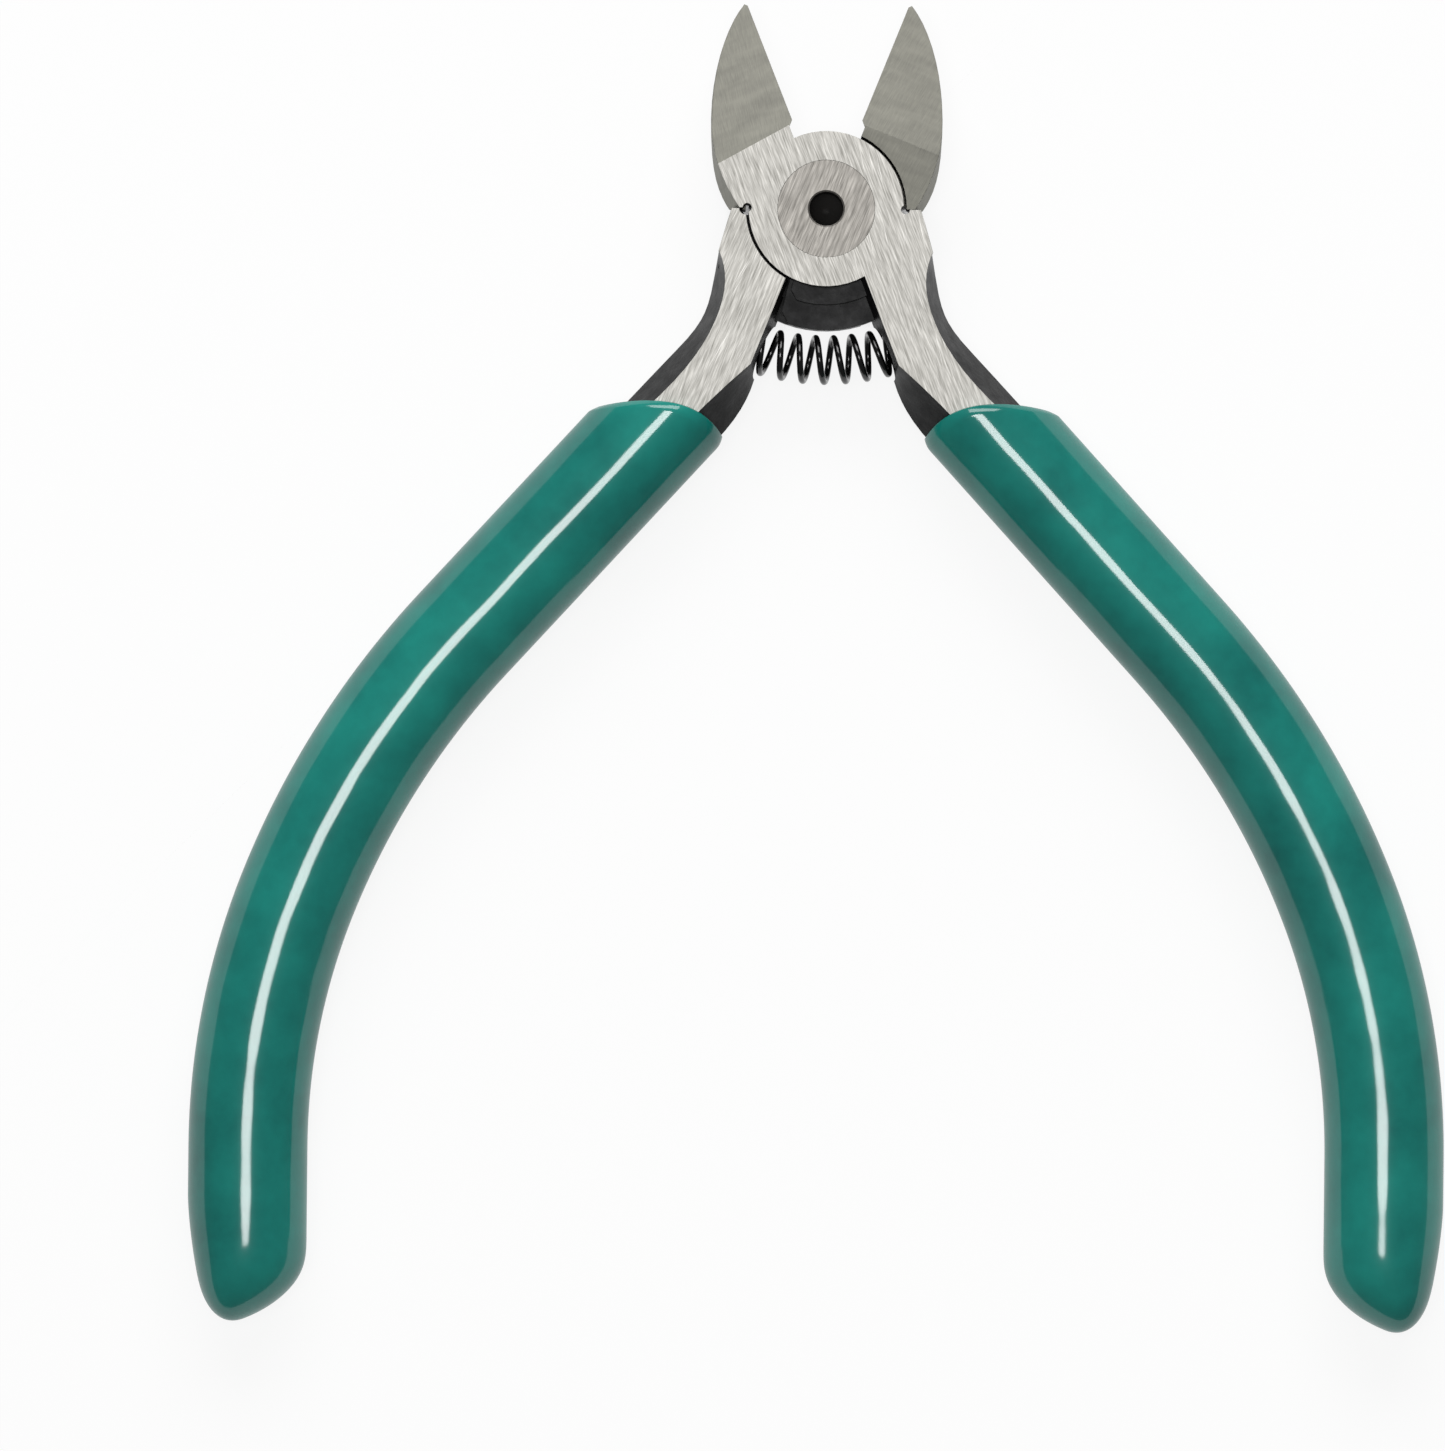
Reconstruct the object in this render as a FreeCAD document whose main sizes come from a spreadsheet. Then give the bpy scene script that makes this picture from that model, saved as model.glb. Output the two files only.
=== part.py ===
# Flush cutter with a lap joint, a coil return spring and dipped sleeves.
#
# The tool lies flat. Z runs along the rivet, Y points to the cutting tips, and
# the rivet's axis meets the joint's flat back at the origin. Both levers are
# drawn as they stand when the tool is closed, with the cutting edges on the YZ
# plane, and each body is then turned by half of the rest opening.

import FreeCAD, Part
import Sketcher
import math
import os

V = FreeCAD.Vector

SIZES = [
    ("half_opening", 21.5, "turn of each lever from closed to rest, degrees"),
    ("joint_thickness", 7.2, "lap joint, face to face"),
    ("layer_gap", 0.04, "running gap between the two lapped layers"),
    ("disc_radius", 6.0, "joint disc of each lever"),
    ("disc_clearance", 0.22, "seam round the disc"),
    ("stop_margin", 0.25, "each stop face stands back by this angle, degrees"),
    ("stop_relief", 0.34, "radius of the corner relief at each stop"),
    ("corner_relief", 0.5, "radius cut off the arm's stop corner"),
    ("jaw_reach", 17.15, "rivet axis to the tip"),
    ("jaw_width", 7.5, "widest half of the closed head"),
    ("jaw_shoulder", 1.0, "height at which the head is widest"),
    ("jaw_fullness", 0.728, "exponent of the jaw's outer curve"),
    ("tip_flat", 0.2, "blunting of the tip"),
    ("edge_gap", 0.02, "edge to centre plane when closed"),
    ("heel_height", 7.35, "rivet axis to the lower end of the edge"),
    ("heel_step", 0.4, "relief of the inner face under the edge"),
    ("jaw_draft", 0.85, "widening of the jaw's flank at the stop"),
    ("face_start", 7.1, "height at which the flush face starts"),
    ("face_slope", 12.0, "fall of the flush face towards the tip, degrees"),
    ("face_relief", 1.6, "fall of the flush face away from the edge, degrees"),
    ("bevel_angle", 50.0, "wedge angle of the edge, degrees"),
    ("bevel_start", 6.5, "height at which the bevel runs out"),
    ("root_slope", 7.0, "fall of the relieved jaw root, degrees"),
    ("arm_inner", 0.9, "centre plane to the ground face of the arm"),
    ("arm_gap", 0.25, "centre plane to the forged flank of the arm"),
    ("arm_straight", 13.3, "length of the straight inner flank"),
    ("arm_outer", 6.7, "centre plane to the shoulder of the arm"),
    ("waist", 4.7, "centre plane to the waist's ground edge"),
    ("waist_drop", 10.9, "rivet axis to the waist"),
    ("waist_flank", 1.05, "draft of the outer flank at the waist"),
    ("grip_start", 19.5, "rivet axis to the mouth of the sleeve"),
    ("handle_lean", 20.9, "lean of the handle's upper run, degrees"),
    ("mouth_offset", 5.56, "centre plane to the handle's centre line at the mouth"),
    ("upper_bend", 65.0, "centre line radius above the widest point"),
    ("lower_bend", 54.0, "centre line radius below it"),
    ("tail_lean", 21.5, "lean of the handle's lower run, degrees"),
    ("handle_reach", 96.75, "rivet axis to the tip of the handle's centre line"),
    ("tip_to_bow", 32.55, "that tip to the handle's widest point, along Y"),
    ("tang_setback", 8.6, "tip of the sleeve to the end of the tang"),
    ("sleeve_radius", 4.62, "outside of the round sleeve"),
    ("tip_slant", 37.0, "slant of the sleeve's end, degrees"),
    ("sleeve_tip_round", 3.2, "rounding of the sleeve's end"),
    ("tang_half_width", 3.3, "tang, half of its width at mid height"),
    ("tang_half_face", 1.8, "tang, half of its width at the faces"),
    ("web_radius", 9.3, "outer radius of the web under the disc"),
    ("web_thickness", 1.3, "web, from the lap plane"),
    ("web_step_radius", 7.35, "radius of the web's raised inner land"),
    ("web_step_height", 0.6, "height of the raised land"),
    ("web_clearance", 0.15, "slot round the other lever's web"),
    ("web_root", 12.0, "web's reach into its own arm, degrees"),
    ("web_sweep", 39.0, "full web's reach past the centre plane, degrees"),
    ("web_tail", 5.5, "further reach of the web's blunted corner, degrees"),
    ("web_blunting", 0.08, "share of its radius that the corner gives up"),
    ("rivet_head_radius", 3.75, "rivet head and formed tail"),
    ("rivet_head_depth", 1.5, "thickness of the head and of the tail"),
    ("rivet_shank_radius", 2.5, "rivet shank"),
    ("rivet_clearance", 0.02, "running fit of the rivet in the right lever"),
    ("rivet_hole_radius", 1.32, "blind centre hole"),
    ("rivet_hole_depth", 3.4, "blind centre hole"),
    ("spring_radius", 1.95, "coil, outside"),
    ("spring_wire", 0.5, "wire diameter"),
    ("spring_pitch", 1.58, "pitch of the free coils at rest"),
    ("spring_end_pitch", 0.58, "pitch of the closed end coils"),
    ("spring_drop", 12.0, "rivet axis to the spring seats"),
    ("seat_clearance", 0.25, "coil to the wall of its seat"),
    ("seat_depth", 2.3, "centre plane to the floor of the seat"),
]


def make_sheet(doc):
    """The driving sizes, in millimetres and degrees."""
    sheet = doc.addObject("Spreadsheet::Sheet", "dims")
    for row, (name, value, meaning) in enumerate(SIZES, 1):
        sheet.set("A%d" % row, name)
        sheet.set("B%d" % row, str(value))
        sheet.set("C%d" % row, meaning)
        sheet.setAlias("B%d" % row, name)
    doc.recompute()
    return sheet


def polar(radius, degrees):
    """A point at a radius and a heading about the rivet."""
    turn = math.radians(degrees)
    return V(radius * math.cos(turn), radius * math.sin(turn), 0)


def make_body(doc, name):
    """A body whose label names its file."""
    body = doc.addObject("PartDesign::Body", name)
    body.Label = name
    return body


def seat_body(body, turn_sign):
    """Turn a closed-pose body to its rest place on the flat back."""
    body.Placement = FreeCAD.Placement(V(0, 0, 1), FreeCAD.Rotation(V(0, 0, turn_sign), 10))
    body.setExpression("Placement.Base.z", "dims.joint_thickness / 2")
    body.setExpression("Placement.Rotation.Angle", "dims.half_opening")


def add_sketch(body, name, role="XY_Plane", offset=None):
    """A sketch on one of the body's own origin planes."""
    sketch = body.newObject("Sketcher::SketchObject", name)
    plane = [f for f in body.Origin.OriginFeatures if f.Role == role][0]
    sketch.AttachmentSupport = [(plane, "")]
    sketch.MapMode = "FlatFace"
    if offset is not None:
        sketch.AttachmentOffset = offset
    return sketch


def lift(sketch, expression):
    """Raise a sketch off its plane by an expression."""
    sketch.setExpression("AttachmentOffset.Base.z", expression)


def add_polygon(sketch, points):
    """A closed run of straight lines."""
    for first, last in zip(points, points[1:] + points[:1]):
        sketch.addGeometry(Part.LineSegment(first, last), False)


def add_spline(sketch, points):
    """An open curve through points."""
    curve = Part.BSplineCurve()
    curve.interpolate(points)
    sketch.addGeometry(curve, False)


def add_circle(sketch, centre, radius, expression):
    """A circle whose radius follows an expression."""
    index = sketch.addGeometry(Part.Circle(centre, V(0, 0, 1), radius), False)
    row = sketch.addConstraint(Sketcher.Constraint("Radius", index, radius))
    sketch.setExpression("Constraints[%d]" % row, expression)
    return index


def add_pad(body, name, sketch, expression, towards):
    """Pad a sketch along +Z or -Z."""
    pad = body.newObject("PartDesign::Pad", name)
    pad.Profile = sketch
    pad.Reversed = towards < 0
    pad.setExpression("Length", expression)
    return pad


def add_pocket(body, name, sketch, expression, towards):
    """Cut a sketch out along +Z or -Z of its own plane."""
    pocket = body.newObject("PartDesign::Pocket", name)
    pocket.Profile = sketch
    pocket.Reversed = towards > 0
    pocket.setExpression("Length", expression)
    return pocket


def add_ruled_loft(body, kind, name, sections):
    """A straight-sided loft through sketches."""
    loft = body.newObject("PartDesign::" + kind, name)
    loft.Profile = sections[0]
    loft.Sections = sections[1:]
    loft.Ruled = True
    loft.Closed = False
    return loft


# ---------------------------------------------------------------- lever shape


def jaw_curve(size, draft):
    """Outer curve of a jaw from tip to stop, inset by the flank's draft."""
    shoulder = size.jaw_shoulder
    span = size.jaw_reach - shoulder
    stop = 180 - size.half_opening - size.stop_margin
    low = polar(size.jaw_width, stop).y
    points = []
    for step in range(9):
        share = (step / 8.0) ** 1.6
        y = size.jaw_reach - share * (size.jaw_reach - low)
        reach = (y - shoulder) / span
        x = -size.jaw_width * (1 - reach**2) ** size.jaw_fullness
        fade = max(0.14, 1 - (y - low) / 6.0) if y < size.heel_height else 0.14
        inset = draft * fade * min(1, 8 * share)
        points.append(V(min(x, -size.tip_flat) + inset, y, 0))
    points[0] = V(-size.edge_gap - size.tip_flat, size.jaw_reach, 0)
    return points


def draw_jaw(sketch, size, side, draft):
    """One level of the jaw: edge, heel, outer curve and stop face."""
    curve = jaw_curve(size, draft)
    stop = 180 - size.half_opening - size.stop_margin
    inner = size.disc_radius * 0.6
    edge = [
        polar(inner, stop),
        V(-size.heel_step, inner, 0),
        V(-size.heel_step, size.heel_height - size.heel_step, 0),
        V(-size.edge_gap, size.heel_height, 0),
        V(-size.edge_gap, size.jaw_reach - size.tip_flat, 0),
        curve[0],
    ]
    reach = curve[-1].y / math.sin(math.radians(stop))
    curve[-1] = V(reach * math.cos(math.radians(stop)) + draft, curve[-1].y, 0)
    curve[-1] = polar(curve[-1].Length, stop)
    for first, last in zip(edge, edge[1:]):
        sketch.addGeometry(Part.LineSegment(mirror(first, side), mirror(last, side)), False)
    add_spline(sketch, [mirror(p, side) for p in curve])
    sketch.addGeometry(Part.LineSegment(mirror(curve[-1], side), mirror(edge[0], side)), False)


def mirror(point, side):
    """A point of the right lever, or its mirror image for the left one."""
    return V(side * point.x, point.y, point.z)


def handle_points(size, offset, top, setback):
    """Corners and arc middles of a line that runs beside the handle's centre.

    The centre line is a straight run from the head, an arc out to the widest
    point, a tighter arc back in and a straight tail to the handle's tip. A
    longer or shorter handle takes the change in its upper straight run.
    """
    lean = math.radians(size.handle_lean)
    down = math.radians(size.tail_lean)
    bow_drop = size.handle_reach - size.tip_to_bow
    run = bow_drop - size.upper_bend * math.sin(lean) - size.grip_start
    bow = size.mouth_offset + run * math.tan(lean) + size.upper_bend * (1 - math.cos(lean))

    def beside(bend, degrees):
        turn = math.radians(degrees)
        reach = bend + offset
        return V(bow - bend + reach * math.cos(turn), reach * math.sin(turn) - bow_drop, 0)

    upper = beside(size.upper_bend, size.handle_lean)
    upper_middle = beside(size.upper_bend, size.handle_lean / 2)
    widest = beside(size.upper_bend, 0)
    lower_middle = beside(size.lower_bend, -size.tail_lean / 2)
    lower = beside(size.lower_bend, -size.tail_lean)
    start = upper + V(-math.tan(lean), 1, 0) * (-upper.y - top)
    tail = (size.tip_to_bow - size.lower_bend * math.sin(down)) / math.cos(down) - setback
    end = lower - V(math.sin(down), math.cos(down), 0) * tail
    return start, upper, upper_middle, widest, lower_middle, lower, end


def add_handle_line(sketch, points, side):
    """Draw the two arcs and the two straight runs of such a line."""
    start, upper, upper_middle, widest, lower_middle, lower, end = [
        mirror(p, side) for p in points
    ]
    sketch.addGeometry(Part.LineSegment(start, upper), False)
    sketch.addGeometry(Part.Arc(upper, upper_middle, widest), False)
    sketch.addGeometry(Part.Arc(widest, lower_middle, lower), False)
    sketch.addGeometry(Part.LineSegment(lower, end), False)


def draw_arm(sketch, size, side, ground):
    """One level of the arm and tang: a ground face or the wider mid level."""
    start = size.grip_start
    waist = size.waist_drop
    shoulder = V(size.arm_outer - 0.2, -size.disc_radius - 0.1, 0)
    if ground:
        half = size.tang_half_face
        inner_x = size.arm_inner
        neck = size.arm_straight
        outer = [
            V(size.arm_outer + 0.25, -start + 0.3, 0),
            V(size.waist + 0.6, -waist - 4.1, 0),
            V(size.waist, -waist - 0.4, 0),
            V(size.waist + 0.42, -waist + 2.7, 0),
        ]
    else:
        half = size.tang_half_width
        inner_x = size.arm_gap
        neck = size.arm_straight + 0.7
        outer = [
            V(size.arm_outer + 2.1, -start - 0.2, 0),
            V(size.waist + size.waist_flank + 1.2, -waist - 4.1, 0),
            V(size.waist + size.waist_flank, -waist - 0.1, 0),
            V(size.waist + size.waist_flank + 0.3, -waist + 2.7, 0),
        ]
    inside = handle_points(size, -half, start + 6, size.tang_setback)
    outside = handle_points(size, half, start + 6, size.tang_setback)
    knee = V(inner_x, -neck, 0)
    if ground:
        inner = [knee, V(inner_x + 2.35, -start + 1.25, 0), inside[0]]
    else:
        inner = [knee, V(inner_x + 0.05, -neck - 2.6, 0), V(inner_x + 0.85, -start, 0), inside[0]]
    add_spline(sketch, [mirror(p, side) for p in inner])
    add_handle_line(sketch, inside, side)
    sketch.addGeometry(Part.LineSegment(mirror(inside[-1], side), mirror(outside[-1], side)), False)
    add_handle_line(sketch, outside, side)
    add_spline(sketch, [mirror(p, side) for p in [outside[0]] + outer + [shoulder]])

    stop = -size.half_opening - size.stop_margin
    root = size.disc_radius * 0.6
    corner = V(size.arm_outer, -size.disc_radius + 2.0, 0)
    face = polar(size.arm_outer / math.cos(math.radians(stop)) + 0.1, stop)
    turn = [shoulder, corner, face, polar(root, stop), V(inner_x, -root, 0), knee]
    for first, last in zip(turn, turn[1:]):
        sketch.addGeometry(Part.LineSegment(mirror(first, side), mirror(last, side)), False)


def forged_levels(body, prefix, draw):
    """Sketches at the back face, the mid plane and the front face."""
    sketches = []
    for place, level in (("back", -1), ("middle", 0), ("front", 1)):
        sketch = add_sketch(body, prefix + "_" + place)
        lift(sketch, "%d * dims.joint_thickness / 2" % level)
        draw(sketch, level != 0)
        sketches.append(sketch)
    return sketches


def add_sector(sketch, side, radius, blunt, first, last, tail):
    """A slice about the rivet whose far end is cut back to a blunt corner.

    Its headings are counted from the centre line below the rivet.
    """
    middle = (first + last) / 2
    ends = [mirror(polar(radius, angle - 90), side) for angle in (first, middle, last)]
    corner = mirror(polar(blunt, last + tail - 90), side)
    root = mirror(polar(blunt * 0.6, last + 2.2 * tail - 90), side)
    sketch.addGeometry(Part.Arc(*ends), False)
    for start, stop in ((ends[2], corner), (corner, root), (root, V(0, 0, 0)), (V(0, 0, 0), ends[0])):
        sketch.addGeometry(Part.LineSegment(start, stop), False)


def tilted(origin, across_degrees, along_degrees):
    """A plane through a point, tipped about X and then about Y."""
    about_x = FreeCAD.Rotation(V(1, 0, 0), across_degrees)
    about_y = FreeCAD.Rotation(V(0, 1, 0), along_degrees)
    return FreeCAD.Placement(origin, about_x.multiply(about_y))


def add_web(body, size, side, layer):
    """The stepped web that closes the gap between the arms."""
    half_gap = "%d * dims.layer_gap / 2" % layer
    for name, radius, height in (
        ("web", size.web_radius, "dims.web_thickness"),
        ("web_land", size.web_step_radius, "dims.web_thickness + dims.web_step_height"),
    ):
        sketch = add_sketch(body, name + "_outline")
        lift(sketch, half_gap)
        blunt = radius * (1 - size.web_blunting)
        add_sector(sketch, side, radius, blunt, size.web_root, -size.web_sweep, -size.web_tail)
        add_pad(body, name, sketch, height + " - dims.layer_gap / 2", layer)


def cut_web_slot(body, size, side, layer):
    """The slot in the arm that the other lever's web slides into."""
    gap = size.web_clearance
    for name, radius, height in (
        ("web_slot", size.web_radius, "dims.web_thickness"),
        ("land_slot", size.web_step_radius, "dims.web_thickness + dims.web_step_height"),
    ):
        sketch = add_sketch(body, name + "_outline")
        lift(sketch, "%d * dims.layer_gap / 2" % layer)
        blunt = radius * (1 - size.web_blunting) + gap
        high = size.web_sweep + math.degrees(gap / radius)
        add_sector(sketch, side, radius + gap, blunt, -size.web_root, high, size.web_tail)
        depth = height + " + dims.layer_gap / 2 + dims.web_clearance"
        add_pocket(body, name, sketch, depth, -layer)


def cut_blade(body, size, side, layer):
    """The ground faces of the jaw: flush face, wedge bevel and root relief."""
    top = size.joint_thickness / 2
    reach = size.jaw_reach + 4
    width = size.jaw_width + 3
    slope = size.face_slope
    relief = -side * size.face_relief

    face = add_sketch(body, "flush_face", offset=tilted(V(0, size.face_start, top), -slope, relief))
    add_polygon(face, [V(-width, -4, 0), V(width, -4, 0), V(width, reach, 0), V(-width, reach, 0)])
    add_pocket(body, "flush_grind", face, "dims.joint_thickness", 1)

    edge = tilted(V(0, size.face_start, top), -slope, -side * size.bevel_angle)
    bevel = add_sketch(body, "bevel_face", offset=edge)
    run = size.bevel_start - size.face_start
    corners = [V(side, run, 0), V(side, reach, 0)]
    corners += [V(-side * 12, reach, 0), V(-side * 12, run + 1.3, 0)]
    add_polygon(bevel, corners)
    grind = add_pocket(body, "bevel_grind", bevel, "dims.joint_thickness * 1.5", -1)
    wedge = math.radians(size.bevel_angle)
    grind.UseCustomVector = True
    grind.Direction = V(side * math.sin(wedge), 0, -math.cos(wedge))
    if layer > 0:
        return

    root = tilted(V(0, size.face_start, top), size.root_slope, relief)
    zone = add_sketch(body, "root_face", offset=root)
    near = -side * (size.heel_step * 0.5 - 0.4)
    far = -side * (size.jaw_width + 2)
    low = polar(size.disc_radius, 180 - size.half_opening - size.stop_margin).y - size.face_start - 1
    add_polygon(zone, [V(near, low, 0), V(far, low, 0), V(far, 0.6, 0), V(near, 0.6, 0)])
    add_pocket(body, "root_grind", zone, "dims.joint_thickness / 4", 1)


def cut_joint(body, size, side, layer):
    """Lap clearance, stop reliefs, rivet bore with its head seat, spring seat."""
    lap = add_sketch(body, "lap_outline")
    lift(lap, "%d * dims.layer_gap / 2" % layer)
    add_circle(
        lap, V(0, 0, 0), size.disc_radius + 0.2, "dims.disc_radius + dims.disc_clearance"
    )
    add_pocket(body, "lap_clearance", lap, "dims.joint_thickness", -layer)

    relief = add_sketch(body, "stop_relief_outline")
    for heading in (180 - size.half_opening - size.stop_margin, -size.half_opening - size.stop_margin):
        spot = mirror(polar(size.disc_radius + size.disc_clearance / 2, heading), side)
        add_circle(relief, spot, size.stop_relief, "dims.stop_relief")
    add_pocket(body, "stop_relief", relief, "dims.joint_thickness", layer)

    corner = add_sketch(body, "corner_relief_outline")
    heading = -size.half_opening - size.stop_margin
    spot = mirror(polar(size.disc_radius + size.disc_clearance, heading), side)
    add_circle(corner, spot, size.corner_relief, "dims.corner_relief")
    add_pocket(body, "corner_relief", corner, "dims.joint_thickness", -layer)

    fit = " + dims.rivet_clearance" if side > 0 else ""
    bore = add_sketch(body, "rivet_bore_outline")
    add_circle(bore, V(0, 0, 0), size.rivet_shank_radius, "dims.rivet_shank_radius" + fit)
    add_pocket(body, "rivet_bore", bore, "dims.joint_thickness", layer)
    seat = add_sketch(body, "rivet_seat_outline")
    floor = "%d * (dims.joint_thickness / 2 - dims.rivet_head_depth%s)"
    lift(seat, floor % (layer, fit.replace("+", "-")))
    add_circle(seat, V(0, 0, 0), size.rivet_head_radius, "dims.rivet_head_radius" + fit)
    add_pocket(body, "rivet_seat", seat, "dims.joint_thickness", layer)

    socket = add_sketch(body, "spring_seat_outline", "YZ_Plane")
    add_circle(
        socket,
        V(-size.spring_drop, 0, 0),
        size.spring_radius,
        "dims.spring_radius + dims.seat_clearance",
    )
    add_pocket(body, "spring_seat", socket, "dims.seat_depth", side)


def build_lever(doc, name, size, side, layer):
    """One forged lever: disc, jaw, arm and tang, then its ground features."""
    body = make_body(doc, name)
    disc = add_sketch(body, "disc_outline")
    lift(disc, "%d * dims.layer_gap / 2" % layer)
    add_circle(disc, V(0, 0, 0), size.disc_radius, "dims.disc_radius")
    thickness = "dims.joint_thickness / 2 - dims.layer_gap / 2"
    add_pad(body, "disc", disc, thickness, layer)

    jaw = forged_levels(
        body,
        "jaw",
        lambda sketch, ground: draw_jaw(sketch, size, side, size.jaw_draft if ground else 0),
    )
    add_ruled_loft(body, "AdditiveLoft", "jaw_forging", jaw)
    arm = forged_levels(body, "arm", lambda sketch, ground: draw_arm(sketch, size, side, ground))
    add_ruled_loft(body, "AdditiveLoft", "arm_forging", arm)
    add_web(body, size, side, layer)
    doc.recompute()
    cut_joint(body, size, side, layer)
    cut_web_slot(body, size, side, layer)
    cut_blade(body, size, side, layer)
    seat_body(body, side)
    return body


# ------------------------------------------------------------- smaller pieces


def build_rivet(doc, size):
    """Pivot rivet, flush both sides, fixed in the left lever."""
    body = make_body(doc, "pivot_rivet")
    half = size.joint_thickness / 2
    head = size.rivet_head_radius
    shank = size.rivet_shank_radius
    inner = half - size.rivet_head_depth
    sketch = add_sketch(body, "rivet_profile", "XZ_Plane")
    profile = [V(0, -half, 0), V(head, -half, 0), V(head, -inner, 0), V(shank, -inner, 0)]
    profile += [V(shank, inner, 0), V(head, inner, 0), V(head, half, 0), V(0, half, 0)]
    add_polygon(sketch, profile)
    turned = body.newObject("PartDesign::Revolution", "rivet_blank")
    turned.Profile = sketch
    turned.ReferenceAxis = (sketch, ["V_Axis"])
    turned.Angle = 360
    doc.recompute()
    hole = add_sketch(body, "rivet_hole_profile", "XZ_Plane")
    wide = size.rivet_hole_radius
    floor = half - size.rivet_hole_depth
    rim = wide + 0.12
    cone = wide * math.tan(math.radians(31))
    add_polygon(
        hole,
        [
            V(0, half + 1, 0),
            V(rim, half + 1, 0),
            V(rim, half, 0),
            V(wide, half - 0.12, 0),
            V(wide, floor, 0),
            V(0, floor - cone, 0),
        ],
    )
    drilled = body.newObject("PartDesign::Groove", "rivet_hole")
    drilled.Profile = hole
    drilled.ReferenceAxis = (hole, ["V_Axis"])
    drilled.Angle = 360
    seat_body(body, -1)
    return body


def cut_sleeve_tip(body, size, side, line):
    """Slant the sleeve's end towards the palm and round it all the way round."""
    along = (line[-1] - line[-2]).normalize()
    across = V(-along.y, along.x, 0)
    slant = math.radians(size.tip_slant)
    face = across * math.cos(slant) + along * math.sin(slant)
    outer = line[-1] + face * (4 * size.sleeve_radius)
    inner = line[-1] - face * (4 * size.sleeve_radius)
    sketch = add_sketch(body, "tip_outline")
    beyond = [inner + along * 30, outer + along * 30]
    add_polygon(sketch, [mirror(p, side) for p in [outer, inner] + beyond])
    cut = add_pocket(body, "tip_cut", sketch, "dims.sleeve_radius * 4", 1)
    cut.Midplane = True
    body.Document.recompute()
    centre = mirror(line[-1], side)
    reach = [(f.CenterOfMass - centre).Length for f in cut.Shape.Faces]
    name = "Face%d" % (reach.index(min(reach)) + 1)
    fillet = body.newObject("PartDesign::Fillet", "tip_rounding")
    fillet.Base = (cut, [name])
    fillet.setExpression("Radius", "dims.sleeve_tip_round")


def build_grip(doc, name, size, side):
    """Vinyl sleeve dipped over the tang, with a slanted blunt end."""
    body = make_body(doc, name)
    mouth = size.grip_start
    line = handle_points(size, 0, mouth - 4, 0)
    path = add_sketch(body, "sleeve_path")
    add_handle_line(path, line, side)
    run = (line[1] - line[0]).normalize()
    across = mirror(V(-run.y, run.x, 0), side)
    facing = FreeCAD.Rotation(across, V(0, 0, 1), V(0, 0, 0), "XYZ")
    section = add_sketch(
        body, "sleeve_section", offset=FreeCAD.Placement(mirror(line[0], side), facing)
    )
    add_circle(section, V(0, 0, 0), size.sleeve_radius, "dims.sleeve_radius")
    pipe = body.newObject("PartDesign::AdditivePipe", "sleeve")
    pipe.Profile = section
    pipe.Spine = path
    doc.recompute()
    cut_sleeve_tip(body, size, side, line)

    lip = add_sketch(body, "mouth_outline")
    edge = [
        V(-1.6, -mouth - 0.2, 0),
        V(0.9, -mouth + 0.2, 0),
        V(3.3, -mouth + 1.15, 0),
        V(6.5, -mouth + 0.6, 0),
        V(9.2, -mouth - 0.35, 0),
        V(10.5, -mouth - 1.3, 0),
        V(12.6, -mouth - 3.6, 0),
    ]
    add_spline(lip, [mirror(p, side) for p in edge])
    frame = [edge[-1], V(16, -mouth - 3.6, 0), V(16, -mouth + 9, 0)]
    frame += [V(-1.6, -mouth + 9, 0), edge[0]]
    for first, last in zip(frame, frame[1:]):
        lip.addGeometry(Part.LineSegment(mirror(first, side), mirror(last, side)), False)
    cut = add_pocket(body, "mouth", lip, "dims.sleeve_radius * 4", 1)
    cut.Midplane = True

    tang = forged_levels(body, "tang", lambda sketch, ground: draw_arm(sketch, size, side, ground))
    add_ruled_loft(body, "SubtractiveLoft", "tang_socket", tang)
    seat_body(body, side)
    return body


def spring_frame(size):
    """Bend radius and centre of the spring's arc, tangent to both seats."""
    turn = math.radians(size.half_opening)
    x = size.seat_depth * math.cos(turn) + size.spring_drop * math.sin(turn)
    y = size.seat_depth * math.sin(turn) - size.spring_drop * math.cos(turn)
    bend = x / math.sin(turn)
    return bend, y + bend * math.cos(turn), 2 * bend * turn


def build_spring(doc, size):
    """Right-hand coil spring bowed between its two seats."""
    bend, centre, length = spring_frame(size)
    wire = size.spring_wire
    coil = size.spring_radius - wire / 2
    shut = size.spring_end_pitch
    floor_gap = wire / 2 + 0.04
    free = (length - 2 * floor_gap - 2 * shut) / size.spring_pitch
    turns = free + 2

    def spot(turn, radius):
        along = shut * min(turn, 1) + size.spring_pitch * min(max(turn - 1, 0), free)
        along += shut * max(turn - 1 - free, 0) + floor_gap - length / 2
        lean = along / bend
        phase = 2 * math.pi * (turn - turns / 2) + math.pi
        up = radius * math.cos(phase)
        reach = bend - up
        return V(reach * math.sin(lean), centre - reach * math.cos(lean), radius * math.sin(phase))

    rings = []
    steps = int(round(turns * 12))
    for step in range(steps + 1):
        turn = turns * step / steps
        middle = spot(turn, coil)
        ahead = (spot(turn + 0.001, coil) - spot(turn - 0.001, coil)).normalize()
        out = spot(turn, coil * 1.5) - middle
        out = (out - ahead * out.dot(ahead)).normalize()
        beside = ahead.cross(out)
        ring = []
        for corner in range(9):
            angle = 2 * math.pi * corner / 9
            ring.append(middle + (out * math.cos(angle) + beside * math.sin(angle)) * (wire / 2))
        rings.append(Part.makePolygon(ring + ring[:1]))
    spring = doc.addObject("Part::Feature", "return_spring")
    spring.Label = "return_spring"
    spring.Shape = Part.makeLoft(rings, True, True)
    spring.Placement = FreeCAD.Placement(V(0, 0, size.joint_thickness / 2), FreeCAD.Rotation())
    return spring


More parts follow.
